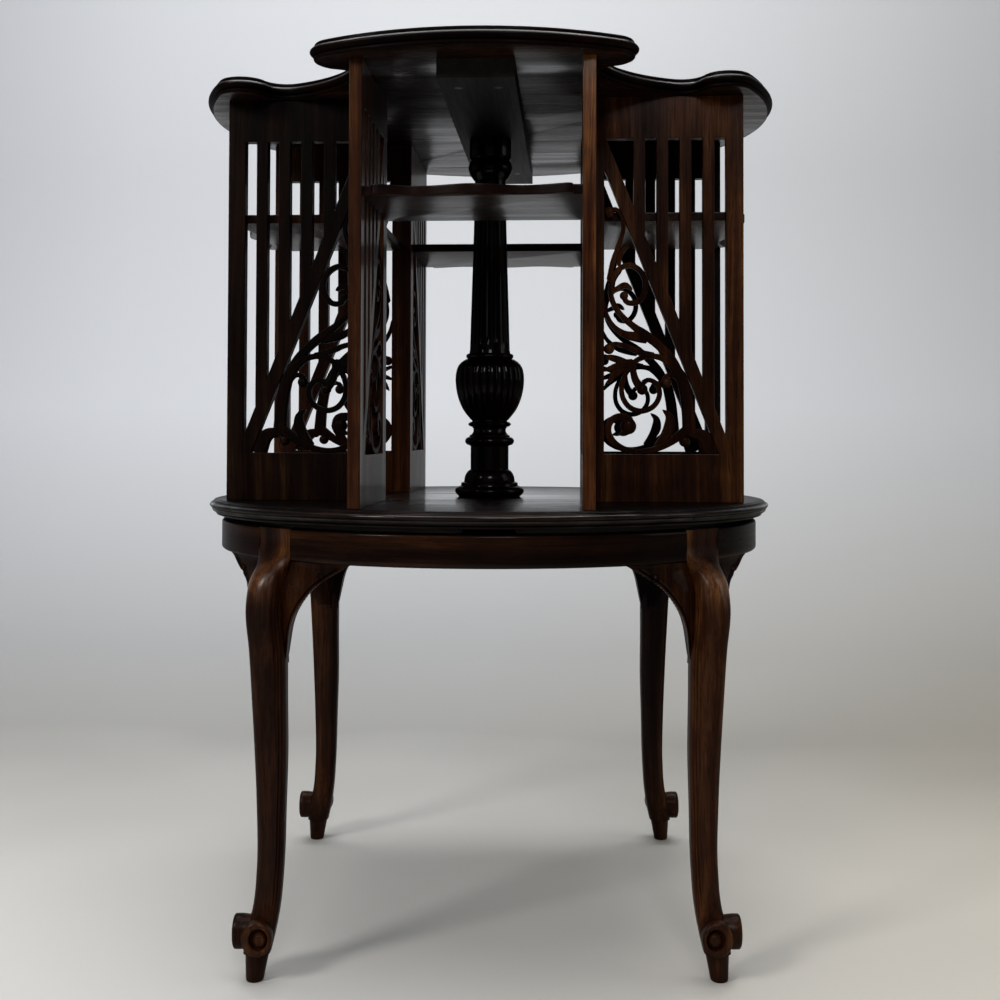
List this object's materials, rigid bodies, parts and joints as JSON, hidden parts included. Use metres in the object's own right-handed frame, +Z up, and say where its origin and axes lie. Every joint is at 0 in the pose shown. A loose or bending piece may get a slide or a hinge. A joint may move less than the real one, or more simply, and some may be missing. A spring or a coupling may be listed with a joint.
{
  "type": "revolving bookcase",
  "caption": "Revolving bookcase: pierced panels form open bays round a turned column, on a round plateau that turns on a stand of cabriole legs, under a flat lobed top.",
  "frame": {"origin": "on the floor, under the axis of the spindle", "axes": "+Z up along the axis of rotation; the front bay opens towards -Y and the right bay towards +X"},
  "size_m": [0.6108, 0.6108, 0.866],
  "materials": {
    "mahogany": "French polished",
    "plain_board": "unpolished",
    "iron": "dark, oiled",
    "brass": "worn smooth",
    "screw_steel": "dull"
  },
  "bodies": {
    "stand": {"apron_back": "mahogany", "apron_front": "mahogany", "apron_left": "mahogany", "apron_right": "mahogany", "bearer_cross": "plain_board", "bearer_long": "plain_board", "flange_screws": "screw_steel", "knee_bracket_back_left_left": "mahogany", "knee_bracket_back_left_right": "mahogany", "knee_bracket_back_right_left": "mahogany", "knee_bracket_back_right_right": "mahogany", "knee_bracket_front_left_left": "mahogany", "knee_bracket_front_left_right": "mahogany", "knee_bracket_front_right_left": "mahogany", "knee_bracket_front_right_right": "mahogany", "leg_back_left": "mahogany", "leg_back_right": "mahogany", "leg_front_left": "mahogany", "leg_front_right": "mahogany", "pivot_spindle": "iron", "thrust_washer": "brass"},
    "bookcase": {"batten_screws": "screw_steel", "column": "mahogany", "column_base": "mahogany", "panel_back_left": "mahogany", "panel_back_right": "mahogany", "panel_front_left": "mahogany", "panel_front_right": "mahogany", "panel_left_back": "mahogany", "panel_left_front": "mahogany", "panel_right_back": "mahogany", "panel_right_front": "mahogany", "panel_screws": "screw_steel", "pivot_socket": "iron", "plateau": "mahogany", "shelf_back": "mahogany", "shelf_front": "mahogany", "shelf_left": "mahogany", "shelf_right": "mahogany", "socket_screws": "screw_steel", "spindle_bush": "brass", "top": "mahogany", "top_batten": "plain_board", "top_dowels": "plain_board"}
  },
  "joints": [
    {"name": "bookcase_spin", "type": "hinge", "parent": "stand", "child": "bookcase", "pos_m": [0, 0, 0.42], "axis": [0, 0, 1], "continuous": true}
  ]
}
